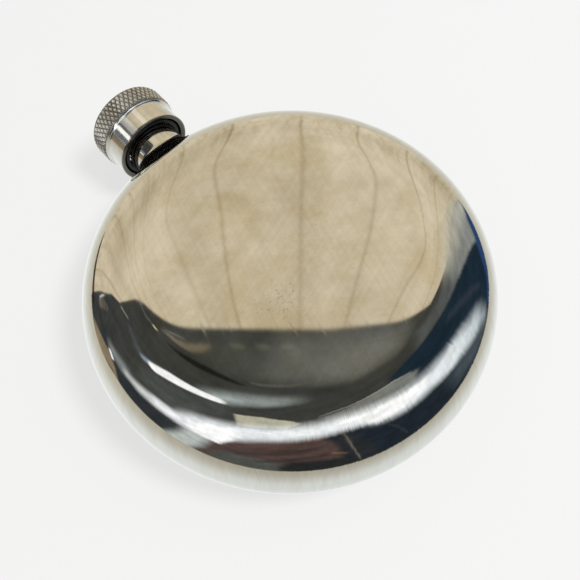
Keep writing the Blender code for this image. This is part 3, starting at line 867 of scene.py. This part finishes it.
# Soft patches on a flat map of directions. A place on the map is an angle from straight up, in
# degrees, laid out along the direction's compass angle. Each patch has a kind, a colour as 0 to
# 255 display values, the width of its soft edge, its strength, its corners or the points along
# it, and a band also has its half widths at those points.
PATCHES = [
    (AREA, (56, 58, 56), 14, 1, [(-40, 96), (-110, 90), (-130, -2), (-66, -2), (-62, 18), (-52, 44),
                                 (-34, 46), (-24, 46), (-20, 44)]),
    (AREA, (46, 50, 53), 10, 1, [(-120, 60), (-120, -2), (-68, -1), (-66, 20), (-60, 40), (-50, 52),
                                 (-60, 62)]),
    (AREA, (32, 39, 46), 7, 1, [(-8, -30), (10, -30), (40, -34), (84, -40), (120, -44),
                                (120, -120), (-40, -120), (-24, -60)]),
    (AREA, (70, 80, 86), 14, 0.9, [(36, -58), (60, -50), (84, -48), (84, -58), (66, -70), (46, -76)]),
    (AREA, (82, 65, 60), 5, 1, [(-120, -26), (-64, -14), (-34, -20), (-20, -28), (-12, -32),
                                (-15, -44), (-24, -60), (-30, -72), (-60, -60), (-90, -40)]),
    (AREA, (76, 64, 60), 6, 0.8, [(-66, -22), (-54, -22), (-46, -30), (-56, -40), (-66, -36)]),
    (AREA, (66, 52, 46), 4, 0.8, [(-40, -34), (-34, -33), (-30, -46), (-36, -48)]),
    (AREA, (78, 80, 75), 8, 1, [(-96, -22), (-68, -24), (-56, -42), (-54, -56), (-66, -64),
                                (-96, -60)]),
    (AREA, (38, 40, 40), 8, 1, [(-60, -58), (-48, -54), (-38, -62), (-30, -70), (-24, -90),
                                (-60, -104), (-72, -72)]),
    (BAND, (60, 52, 51), 5, 0.8, [(-60, -30), (-40, -40), (-24, -44)], [1, 3, 2]),
    (BAND, (102, 79, 71), 4, 0.6, [(-50, -24), (-34, -27), (-18, -33)], [0.8, 1.6, 1.0]),
    (BAND, (54, 49, 50), 5, 0.8, [(-62, -44), (-44, -52), (-28, -58)], [1, 3, 2]),
    (BAND, (40, 43, 45), 4, 1, [(-14, -32), (-12, -42), (-15, -60), (-20, -92)], [2, 5, 6, 7]),
    (BAND, (172, 182, 180), 7, 0.95, [(-10, 9.5), (-5, 8.2), (0, 6.4)], [2.4, 2.4, 1.6]),
    (BAND, (136, 142, 137), 7, 0.9, [(-2, 7.4), (3, 5.6)], [3, 1.6]),
    (AREA, (76, 79, 75), 10, 0.8, [(-48, 26), (-36, 26), (-14, 7), (-22, 1), (-48, 4)]),
    (AREA, (74, 76, 69), 4, 0.9, [(2, 24), (6, 15), (12, 6), (20, 2), (26, 5), (14, 14)]),
    (AREA, (113, 113, 106), 6, 0.9, [(9, 13.5), (12, 15), (17, 11.5), (23, 7.5), (21, 4), (14, 5)]),
    (BOARD, (204, 191, 163), 0.55, 1, [(-60, 110), (-52, 88), (-41, 70), (-32, 57), (-25, 49.5),
                                      (-20, 42), (-12.5, 37.4), (-6.8, 34.2), (-2.4, 31), (0.2, 28.2),
                                      (3.6, 24.7), (6.1, 22.3), (10.8, 18.1), (16.4, 13.1),
                                      (20.6, 10), (24.6, 7.1), (28.2, 4.1), (36.5, 3.2), (45, 3.2),
                                      (58, 4.4), (76, 5.8), (92, 7.9), (120, 9), (120, 120),
                                      (-60, 120)]),
    (AREA, (84, 87, 85), 4, 1, [(24, 2.4), (30, 1.8), (38, 0.6), (46, -2), (60, -4), (98, -8),
                                (98, -20), (24, -20)]),
    (AREA, (130, 133, 128), 7, 1, [(38, 2), (46, 2), (98, 6), (98, -20), (60, -16), (46, -8),
                                   (40, -2)]),
    (AREA, (176, 174, 160), 9, 1, [(36, 4.6), (44, 5.6), (58, 6.4), (98, 8.6), (98, 3), (74, 0),
                                   (58, -0.8), (46, -0.6), (40, 1.2), (36, 3)]),
    (AREA, (28, 42, 53), 2.4, 1, [(16, -8), (21, -5.4), (30, -5), (40, -6.4), (50, -7.8), (62, -9.6),
                                  (76, -11), (86, -12), (120, -12), (120, -46), (84, -46),
                                  (50, -42), (25, -36), (16, -26), (15, -14)]),
    (AREA, (40, 66, 104), 5, 1, [(85, -2), (94, 6), (112, 2), (112, -50), (84, -44), (88, -30),
                                 (84, -16)]),
    (BAND, (60, 66, 76), 5, 0.7, [(36, -12), (52, -20), (70, -28)], [0.5, 1, 0.5]),
    (AREA, (174, 171, 151), 1.2, 1, [(-16.5, 1.2), (-25.5, -6), (-14, -14), (-8.1, -12.4),
                                     (-7.9, -8.3), (-11.2, -2.1)]),
    (AREA, (118, 120, 115), 2.5, 1, [(-2.5, -11.6), (4, -12.2), (10, -11.2), (16, -12), (19.5, -15),
                                     (22, -19), (20, -26), (-2, -22)]),
    (BAND, (176, 172, 160), 0.6, 0.8, [(-1.5, -10.4), (2, -10.4), (6, -11), (11, -11.4), (16, -12),
                                     (20, -15.5)], [0.1, 0.25, 0.25, 0.25, 0.3, 0.1]),
    (BAND, (180, 187, 183), 9, 1, [(-96, -4), (-76, -10), (-62, -9)], [8, 7, 6]),
    (BAND, (128, 133, 130), 9, 0.95, [(-56, 46), (-58, 36)], [3, 6]),
    (BAND, (204, 208, 205), 9, 1, [(-60, 32), (-60, 24), (-57, 12)], [2, 4.5, 6]),
    (BAND, (236, 239, 241), 10, 1, [(-57, 12), (-55, 2), (-50, -4)], [5, 7, 9]),
    (BAND, (238, 242, 243), 12, 1, [(-44, -6), (-28, -14), (-15, -21), (-4, -25), (6, -30)],
     [10, 8, 8, 8, 8]),
    (AREA, (255, 255, 254), 4, 1, [(-60, -6), (-50, 1), (-38, -4), (-33, -10), (-44, -17.5),
                                   (-58, -18.5)]),
    (BAND, (158, 168, 173), 14, 1, [(56, -43), (66, -44.5), (76, -47)], [8, 6, 3]),
    (BAND, (204, 213, 215), 15, 1, [(38, -40), (48, -41.5), (58, -43)], [9, 8, 6]),
    (BAND, (228, 234, 236), 15, 1, [(14, -38), (26, -38.5), (38, -39.5)], [11, 10, 9]),
    (AREA, (255, 255, 254), 6, 1, [(-3, -24), (8, -25), (24, -32), (22, -42), (2, -43)]),
    (BAND, (86, 90, 94), 5, 0.9, [(-21.5, 34), (-23.4, 31.4), (-25.9, 29), (-26.2, 26.8)],
     [0.5, 1.0, 1.5, 1.4]),
    (BAND, (146, 160, 171), 3, 0.9, [(-26.8, 26.8), (-25.6, 24.8), (-24.4, 22.8)], [0.7, 1.3, 1.8]),
    (BAND, (255, 255, 255), 1.6, 1, [(-25, 22.4), (-19, 17), (-12.2, 8.8)], [2.1, 2.7, 1.9]),
    (AREA, (138, 122, 98), 4, 1, [(-59, 74), (-86, 62), (-84, 42), (-70, 44), (-62, 50)]),
    (AREA, (96, 88, 76), 3, 0.8, [(-74, 56), (-80, 58), (-82, 48), (-76, 46)]),
    (BAND, (255, 255, 255), 1.5, 1, [(-60.6, 48), (-63.4, 46)], [1.5, 1.5]),
    (BAND, (100, 95, 84), 2, 0.9, [(-42, 63), (-37.6, 56.5), (-35, 52)], [2.4, 2.2, 1.0]),
    (BAND, (50, 49, 45), 0.8, 0.9, [(-36.8, 54.4), (-36, 53)], [0.5, 0.5]),
    (BAND, (226, 223, 214), 0.6, 0.9, [(-40.5, 64.5), (-37, 61.2), (-33.5, 57.5)], [0.2, 0.4, 0.2]),
    (BAND, (150, 146, 134), 0.8, 0.9, [(-20, 40.4), (-18.4, 36)], [0.35, 0.3]),
    (BAND, (98, 100, 90), 0.6, 0.9, [(-5, 33), (-4.4, 31.5), (-4.3, 29.1), (-3.4, 28)],
     [0.1, 0.25, 0.3, 0.2]),
    (BAND, (206, 196, 158), 0.4, 0.95, [(-3.5, 27.4), (-3.1, 26.8), (-2.7, 26.1)], [0.1, 0.35, 0.1]),
    (BAND, (29, 29, 27), 1.0, 0.95, [(-2.4, 23.4), (-1.4, 21.3), (0, 19.4), (1.2, 17.8), (2.2, 15.9),
                                     (3.2, 13.6)], [0.2, 0.8, 1.1, 1.1, 0.9, 0.3]),
    (BAND, (118, 109, 92), 0.8, 0.95, [(-0.6, 25.4), (0.6, 24.1), (1.5, 22.7), (2.7, 21.6),
                                       (4.4, 20.8), (5.2, 20.4)], [0.1, 0.4, 0.6, 0.7, 0.5, 0.2]),
    (BAND, (114, 112, 104), 0.3, 0.9, [(0.4, 25.2), (1.7, 24.3), (2.6, 23.5), (3.3, 22.8)],
     [0.1, 0.15, 0.15, 0.1]),
    (BAND, (150, 140, 125), 0.7, 0.8, [(-8, -33), (-16.4, -58.2), (-20.4, -73.8), (-23.3, -88.6)],
     [0.1, 0.3, 0.3, 0.2]),
    (BAND, (84, 86, 90), 0.8, 0.5, [(3, -52), (5, -66), (8, -86)], [0.2, 0.3, 0.3]),
    (BAND, (120, 92, 66), 3, 0.8, [(-26, -58.6), (-23.5, -66)], [1.2, 1]),
    (BAND, (40, 40, 37), 2.0, 0.95, [(-20, 91.5), (-25.6, 90), (-33.4, 87), (-41.6, 82.6), (-50, 77.4)],
     [0.8, 2.2, 2.6, 2.8, 3.0]),
    (BAND, (98, 98, 86), 0.6, 0.9, [(7.2, 18.8), (7.6, 18.3), (8.1, 17.8)], [0.1, 0.3, 0.1]),
    (BAND, (102, 102, 90), 0.6, 0.9, [(9.2, 17), (9.6, 16.5), (10.1, 16)], [0.1, 0.3, 0.1]),
    (BAND, (110, 111, 100), 0.6, 0.9, [(11.3, 15.1), (11.8, 14.7), (12.3, 14.2)], [0.1, 0.3, 0.1]),
    (BAND, (96, 95, 84), 0.7, 0.8, [(5.2, 13.6), (5.7, 12.7), (7.1, 11.6), (8.4, 10.6), (10.5, 9.6)],
     [0.1, 0.3, 0.35, 0.35, 0.1]),
]

# Slow waves of shade on the wooden board: strength, and waves in a full turn round and down
WAVES = [(0.03, 19, 2), (0.03, 31, -3), (0.02, 2, 9)]

# Lighter and darker places on the wooden board: place on the map, reach and change of shade
SHADES = [(40, 20, 13, 0.06), (0, 39, 7, 0.12), (20, 31, 8, -0.10), (20, 60, 16, -0.18),
          (-10, 60, 14, -0.14), (0, 52, 8, -0.06), (80, 17, 12, -0.30), (30, 44, 9, 0.05),
          (90, 38, 16, 0.03)]

# Upright joints of the wooden board: width, depth, and compass angles at angles from straight up
SEAMS = [(0.5, 0.7, [(0, 113.5)]), (0.5, 0.7, [(0, 97)]), (0.4, 0.6, [(0, 90)]),
         (0.4, 0.4, [(0, 83.5)]), (0.45, 0.6, [(0, 72.8)]),
         (0.42, 1.0, [(24, 65), (27.4, 64.5), (30.7, 63.7), (34.5, 62.6), (41, 62), (84, 61)]),
         (0.5, 0.7, [(24, 47.6), (34, 47.6), (36, 47.5), (44, 47.3), (73, 46.7)]),
         (0.42, 0.9, [(24, 34.3), (28, 34), (32, 33.7), (36, 34.2), (41, 35.5), (52, 35.6), (75, 34.5)]),
         (0.38, 0.9, [(26, 23.3), (28.7, 23), (31, 22), (33.8, 21.3), (37, 22.2), (75, 22.2)]),
         (0.6, 0.5, [(0, 13)])]

# Where the table starts: compass angle and angle from straight up
TABLE_EDGE = [(0, 96), (20, 90), (60, 87), (95, 90), (105, 96.5), (126, 97), (134, 97), (140, 96),
              (150, 92), (185, 90), (228, 92), (263, 96), (300, 98), (345, 100), (360, 96)]

# Display colours of what no patch covers, and of the table near the flask and further under it,
# and the compass angle from which most light falls on the table
BACKDROP, TABLE_NEAR, TABLE_FAR = (60, 61, 57), (178, 172, 154), (214, 216, 210)
OPEN_COMPASS = 65

# Rows of the dome: first and last angle from straight up, and the number of rows between them
DOME_ROWS = [(0.5, 56, 223), (56.5, 104, 96), (106, 178, 37)]
DOME_COLUMNS, DOME_RADIUS = 1440, 3.0


def light_of(colour):
    """A display colour's light: straight for the darkest values, and a power of 2.4 above them."""
    colour = np.asarray(colour, float) / 255
    return np.where(colour <= 0.04045, colour / 12.92, ((colour + 0.055) / 1.055) ** 2.4)


def on_map(compass, down):
    """A direction's place on the flat map."""
    return down * np.cos(np.radians(compass)), down * np.sin(np.radians(compass))


def nearest_on(x, y, start, end):
    """Share along a straight piece where it is nearest a place, and its distance from there."""
    dx, dy = end[0] - start[0], end[1] - start[1]
    share = np.clip(((x - start[0]) * dx + (y - start[1]) * dy) / (dx * dx + dy * dy), 0, 1)
    return share, np.hypot(x - start[0] - share * dx, y - start[1] - share * dy)


def band_cover(x, y, path, widths, soft):
    """How much a band covers each place: its half width less the distance from its path."""
    best = np.full(x.shape, -1e9)
    for start, end, wide, wider in zip(path, path[1:], widths, widths[1:]):
        share, distance = nearest_on(x, y, start, end)
        best = np.maximum(best, wide + (wider - wide) * share - distance)
    return eased(best / soft + 0.5)


def area_cover(x, y, corners, soft):
    """How much an area covers each place: the distance inside its outline.

    A place is inside if a level line from it crosses the outline an odd number of times.
    """
    best = np.full(x.shape, 1e9)
    inside = np.zeros(x.shape, bool)
    for start, end in zip(corners, corners[1:] + corners[:1]):
        best = np.minimum(best, nearest_on(x, y, start, end)[1])
        crosses = (start[1] > y) != (end[1] > y)
        slope = (end[0] - start[0]) / (end[1] - start[1]) if end[1] != start[1] else 0.0
        inside ^= crosses & (x < slope * (y - start[1]) + start[0])
    return eased(np.where(inside, best, -best) / soft + 0.5)


def board_light(colour, compass, down):
    """The wooden board: slow changes of shade, warmer where it is darker, with darker joints.

    A joint's dark line falls off as a bell curve, and spans more degrees high up, where they
    are shorter.
    """
    x, y = on_map(compass, down)
    shade = np.ones(x.shape)
    for strength, waves_round, waves_down in WAVES:
        shade += strength * np.sin(np.radians(compass * waves_round + down * waves_down))
    for at_x, at_y, reach, change in SHADES:
        shade += change * np.exp(-((x - at_x) ** 2 + (y - at_y) ** 2) / reach ** 2)
    board = light_of(colour) * shade[..., None] ** np.array((1.0, 1.1, 1.35))
    for width, depth, bends in SEAMS:
        at = np.interp(down, *zip(*bends))
        wide = width * (0.6 + 10 / np.maximum(down, 8))
        dark = depth * (0.25 + 0.14 * eased((down - 40) / 20))
        dark = dark * np.exp(-((compass - at) / wide) ** 2)
        board = board * (1 - dark[..., None] * (0.9, 1.05, 1.3))
    return board


def table_light(compass, down):
    """The table: dim and warm near the flask, where it shades it, and pale further under it."""
    open_side = 0.5 + 0.5 * np.cos(np.radians(compass) - math.radians(OPEN_COMPASS))
    near = light_of(TABLE_NEAR) * (0.86 + 0.34 * open_side[..., None])
    far = light_of(TABLE_FAR) * (0.94 + 0.12 * open_side[..., None])
    share = eased((down - 92) / 42)[..., None]
    return near * (1 - share) + far * share


def surroundings(compass, down):
    """Light from each direction: the patches in order, and the table below them.

    The fourth number is the share that is wood.
    """
    x, y = on_map(compass, down)
    light = np.empty(x.shape + (3,))
    light[:] = light_of(BACKDROP)
    wood = np.zeros(x.shape)
    for kind, colour, soft, strength, points, *widths in PATCHES:
        if kind == BAND:
            cover = band_cover(x, y, points, widths[0], soft)
        else:
            cover = area_cover(x, y, points, soft)
        wood = np.where(kind == BOARD, cover, wood * (1 - cover * strength))
        cover = (cover * strength)[..., None]
        new = board_light(colour, compass, down) if kind == BOARD else light_of(colour)
        light = light * (1 - cover) + new * cover
    edge = np.interp(compass, *zip(*TABLE_EDGE))
    below = eased((down - edge) / 2.0 + 0.5)[..., None]
    light = light * (1 - below) + table_light(compass, down) * below
    return np.concatenate([light, wood[..., None] * (1 - below)], -1)


def surroundings_material():
    """The dome's own light, with a grain on its wood and slow clouds over it and the rest.

    The grain runs upright, because its noise hardly changes with height. The clouds end at the
    table.
    """
    material = bpy.data.materials.new("surroundings")
    material.use_nodes = True
    tree = material.node_tree
    tree.nodes.clear()
    glow = add(tree, "ShaderNodeAttribute", attribute_name="glow").outputs["Color"]
    wood = add(tree, "ShaderNodeAttribute", attribute_name="wood").outputs["Fac"]
    where = place(tree)
    ray = outward(tree, where)[1]
    height = add(tree, "ShaderNodeSeparateXYZ", {0: where}).outputs[2]
    upright = add(tree, "ShaderNodeCombineXYZ", {2: times(tree, height, 0.025)}).outputs[0]
    grain = noise(tree, vector_math(tree, "ADD", ray, upright), 30.0, 4.0, 0.6, 0.6)
    low_down = spread(tree, height, 2.4, 1.0, 0.12, 0.5)
    grain = times(tree, spread(tree, grain, 0.46, 0.62), low_down)
    brown = vector_math(tree, "MULTIPLY", glow, (0.74, 0.67, 0.58))
    colour = mixed(tree, times(tree, grain, wood), glow, brown)
    cloud = spread(tree, noise(tree, where, 3.0, 5.0, 0.62), 0.32, 0.68, -0.2, 0.2)
    cloud = times(tree, cloud, spread(tree, wood, 0.0, 1.0, 1.0, 0.35))
    cloud = times(tree, cloud, spread(tree, height, -0.4, 0.2))
    emission = add(tree, "ShaderNodeEmission", {"Color": colour, "Strength": plus(tree, cloud, 1.0)})
    add(tree, "ShaderNodeOutputMaterial", {"Surface": emission.outputs[0]})
    material.cycles.emission_sampling = "NONE"
    return material


def make_surroundings(context):
    """A wide dome seen only by the steel's reflections, with the light as a colour at each point.

    The light is divided by the steel's colour, so that a reflection has the colours listed.
    """
    down = np.concatenate([np.linspace(*rows) for rows in DOME_ROWS])
    compass, down = np.meshgrid(np.arange(DOME_COLUMNS) * 360 / DOME_COLUMNS, down)
    turn, tilt = np.radians(compass), np.radians(down)
    rings = DOME_RADIUS * np.stack([np.sin(tilt) * np.cos(turn), np.sin(tilt) * np.sin(turn),
                                    np.cos(tilt)], -1)
    poles = [(0, 0, MIDDLE - DOME_RADIUS), (0, 0, MIDDLE + DOME_RADIUS)]
    dome = make_piece("surroundings", rings[::-1] + (0, 0, MIDDLE), poles)
    light = surroundings(compass, down)[::-1].reshape(-1, 4)
    light = np.concatenate([light, surroundings(np.array([0.0, 0.0]), np.array([180.0, 0.0]))])
    light[:, :3] /= np.array(context.scene.wine_flask_finish.steel)
    layer = dome.data.attributes.new("glow", "FLOAT_COLOR", "POINT")
    layer.data.foreach_set("color", np.column_stack([light[:, :3], np.ones(len(light))]).ravel())
    point_values(dome.data, "wood", light[:, 3])
    dome.data.materials.append(surroundings_material())
    for kind in ("camera", "diffuse", "transmission", "volume_scatter", "shadow"):
        setattr(dome, "visible_" + kind, False)


def make_table(context):
    """A wide pale table with a fine paper grain. Reflections see the surroundings instead."""
    finish = context.scene.wine_flask_finish
    reach, cells = 1.5, 6
    x, y = np.meshgrid(*[np.linspace(-reach, reach, cells + 1)] * 2)
    points = np.stack([x, y, np.full(x.shape, SHELL_LOW.z)], -1).reshape(-1, 3)
    row, column = np.meshgrid(np.arange(cells), np.arange(cells), indexing="ij")
    first = (row * (cells + 1) + column).ravel()
    faces = np.stack([first, first + 1, first + cells + 2, first + cells + 1], 1)
    mesh = bpy.data.meshes.new("table")
    mesh.from_pydata(points.tolist(), [], faces.tolist())
    table = put_in_scene("table", mesh)
    material, tree, shader = new_material("pale_table")
    where = place(tree)
    grain = noise(tree, where, 900.0, 4.0, 0.7)
    cloud = noise(tree, where, 26.0, 3.0, 0.5)
    shade = plus(tree, stretched(tree, grain, 0.0, 0.6), stretched(tree, cloud, 0.0, 0.4))
    put_all(tree, shader, {
        "Base Color": toned(tree, shade, finish.table, (0.965, 0.965, 0.965)),
        "Roughness": 0.8, "Specular IOR Level": 0.1, "Emission Color": (1.0, 1.0, 0.995, 1.0),
        "Emission Strength": finish.table_glow, "Normal": bump(tree, grain, 0.00008)})
    mesh.materials.append(material)
    table.visible_glossy = False


def shine_on(lamp, name):
    """Keeps a lamp's light to one object."""
    shown = bpy.data.collections.new(lamp.name)
    shown.objects.link(bpy.data.objects[name])
    lamp.light_linking.receiver_collection = shown


def area_lamp(name, shape, width, length, power):
    """A flat lamp, put in the scene."""
    data = bpy.data.lights.new(name, "AREA")
    data.shape = shape
    data.size, data.size_y = width, length
    data.energy = power
    return put_in_scene(name, data)


def make_light(name, compass, up, distance, size, power):
    """A soft round lamp aimed at the flask, which the steel doesn't reflect."""
    lamp = area_lamp(name, "DISK", size, size, power)
    turn, lift = math.radians(compass), math.radians(up)
    away = Vector((math.cos(turn) * math.cos(lift), math.sin(turn) * math.cos(lift), math.sin(lift)))
    lamp.location = away * distance
    lamp.rotation_euler = away.to_track_quat("Z", "Y").to_euler()
    lamp.visible_glossy = False
    return lamp


def make_strip(name, across, width, glow):
    """A long lamp that only the cap reflects, at an angle across the neck from straight up.

    Its power is its glow times pi times its area.
    """
    length, distance, lift = 1.7, 0.5, math.radians(5)
    lamp = area_lamp(name, "RECTANGLE", width, length, glow * math.pi * width * length)
    turn = math.radians(across)
    away = Vector((math.sin(turn) * math.cos(lift), math.sin(lift), math.cos(turn) * math.cos(lift)))
    side = Vector((0, 1, 0)).cross(away).normalized()
    facing = Matrix((side, away.cross(side), away)).transposed().to_4x4()
    middle = Vector((0, (CAP_LOW.y + CAP_HIGH.y) / 2, MIDDLE))
    lamp.matrix_world = Matrix.Translation(middle + away * distance) @ facing
    shine_on(lamp, "knurled_cap")


# The photograph's camera: its compass angle, its height angle and its roll in degrees, its distance
# from the body's middle, how far its aim is moved to the right and down, as shares of the distance,
# and its focal length and picture width in pixels
CAMERA_TURN, CAMERA_LIFT, CAMERA_ROLL = -39.79, 63.11, -1.84
CAMERA_DISTANCE = 0.1632
AIM_RIGHT, AIM_DOWN = 0.0003, 0.0097
FOCAL_PIXELS, PICTURE_PIXELS, SENSOR_WIDTH = 695.2, 580, 36.0


def make_camera(context):
    """The photograph's camera: direction, distance, aim and roll worked out from the outlines."""
    turn, lift = math.radians(CAMERA_TURN), math.radians(CAMERA_LIFT)
    roll = math.radians(CAMERA_ROLL)
    back = Vector((math.sin(turn) * math.cos(lift), -math.cos(turn) * math.cos(lift), math.sin(lift)))
    ahead = -back
    right = ahead.cross(Vector((0, 0, 1))).normalized()
    up = right.cross(ahead)
    ahead = (ahead + AIM_RIGHT * right - AIM_DOWN * up).normalized()
    right = ahead.cross(up).normalized()
    up = right.cross(ahead)
    camera_x = math.cos(roll) * right + math.sin(roll) * up
    camera_y = -math.sin(roll) * right + math.cos(roll) * up
    data = bpy.data.cameras.new("camera")
    data.sensor_width = SENSOR_WIDTH
    data.lens = FOCAL_PIXELS / PICTURE_PIXELS * SENSOR_WIDTH
    data.clip_start, data.clip_end = 0.005, 20.0
    camera = put_in_scene("camera", data)
    facing = Matrix((camera_x, camera_y, -ahead)).transposed().to_4x4()
    stand = Matrix.Translation(Vector((0, 0, MIDDLE)) + back * CAMERA_DISTANCE)
    camera.matrix_world = stand @ facing
    context.scene.camera = camera


def make_world(context):
    """An even pale light from all sides, which the table and the dull surfaces see."""
    world = bpy.data.worlds.new("pale_room")
    world.use_nodes = True
    put_all(world.node_tree, world.node_tree.nodes["Background"], {
        "Color": (1.0, 1.0, 1.0, 1.0), "Strength": 1.02})
    context.scene.world = world
    context.scene.view_settings.view_transform = "Standard"


# Operators

class WINEFLASK_OT_shells(bpy.types.Operator):
    """Build the front and rear shells"""

    bl_idname = "wine_flask.shells"
    bl_label = "Shells"

    def execute(self, context):
        make_shell(context, "front_half", "front_shell", 1)
        make_shell(context, "rear_half", "rear_shell", -1)
        return {"FINISHED"}


class WINEFLASK_OT_neck(bpy.types.Operator):
    """Build the welded, threaded neck"""

    bl_idname = "wine_flask.neck"
    bl_label = "Neck"

    def execute(self, context):
        make_neck(context)
        return {"FINISHED"}


class WINEFLASK_OT_cap(bpy.types.Operator):
    """Build the knurled steel cap"""

    bl_idname = "wine_flask.cap"
    bl_label = "Cap"

    def execute(self, context):
        make_cap(context)
        return {"FINISHED"}


class WINEFLASK_OT_insert(bpy.types.Operator):
    """Build the cap's threaded plastic insert"""

    bl_idname = "wine_flask.insert"
    bl_label = "Thread insert"

    def execute(self, context):
        make_insert(context)
        return {"FINISHED"}


class WINEFLASK_OT_seal(bpy.types.Operator):
    """Build the cap's soft seal"""

    bl_idname = "wine_flask.seal"
    bl_label = "Seal"

    def execute(self, context):
        make_seal(context)
        return {"FINISHED"}


class WINEFLASK_OT_stage(bpy.types.Operator):
    """Build the surroundings, the table, the lamps, the world and the camera"""

    bl_idname = "wine_flask.stage"
    bl_label = "Stage"

    def execute(self, context):
        make_surroundings(context)
        make_table(context)
        make_light("soft_lamp", compass=350, up=55, distance=1.2, size=0.5, power=2.6)
        lamp = make_light("table_lamp", compass=308, up=61, distance=1.2, size=0.36, power=39)
        shine_on(lamp, "table")
        make_strip("cap_highlight", across=-52, width=0.10, glow=1.6)
        make_strip("cap_glow_left", across=-26, width=0.19, glow=0.42)
        make_strip("cap_glow_right", across=15, width=0.12, glow=0.3)
        make_world(context)
        make_camera(context)
        return {"FINISHED"}


class WINEFLASK_PT_panel(bpy.types.Panel):
    """Lists the flask's operators in the sidebar"""

    bl_idname = "WINEFLASK_PT_panel"
    bl_label = "Wine Flask"
    bl_space_type = "VIEW_3D"
    bl_region_type = "UI"
    bl_category = "Wine Flask"

    def draw(self, context):
        for operator in OPERATORS:
            self.layout.operator(operator.bl_idname)


GROUPS = (WineFlaskBody, WineFlaskNeck, WineFlaskCap, WineFlaskFinish)
OPERATORS = (WINEFLASK_OT_shells, WINEFLASK_OT_neck, WINEFLASK_OT_cap, WINEFLASK_OT_insert,
             WINEFLASK_OT_seal, WINEFLASK_OT_stage)


def register():
    """Registers the classes, and gives the scene the flask's sizes and colours."""
    for item in GROUPS + OPERATORS + (WINEFLASK_PT_panel,):
        bpy.utils.register_class(item)
    scene = bpy.types.Scene
    scene.wine_flask_body = bpy.props.PointerProperty(type=WineFlaskBody)
    scene.wine_flask_neck = bpy.props.PointerProperty(type=WineFlaskNeck)
    scene.wine_flask_cap = bpy.props.PointerProperty(type=WineFlaskCap)
    scene.wine_flask_finish = bpy.props.PointerProperty(type=WineFlaskFinish)


def unregister():
    """Takes the sizes, the colours and the classes away again."""
    scene = bpy.types.Scene
    del scene.wine_flask_body, scene.wine_flask_neck, scene.wine_flask_cap, scene.wine_flask_finish
    for item in reversed(GROUPS + OPERATORS + (WINEFLASK_PT_panel,)):
        bpy.utils.unregister_class(item)


def main():
    """Builds everything in order."""
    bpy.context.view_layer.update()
    register()
    bpy.ops.wine_flask.shells()
    bpy.ops.wine_flask.neck()
    bpy.ops.wine_flask.cap()
    bpy.ops.wine_flask.insert()
    bpy.ops.wine_flask.seal()
    bpy.ops.wine_flask.stage()
    bpy.context.view_layer.update()


if __name__ == "__main__":
    main()
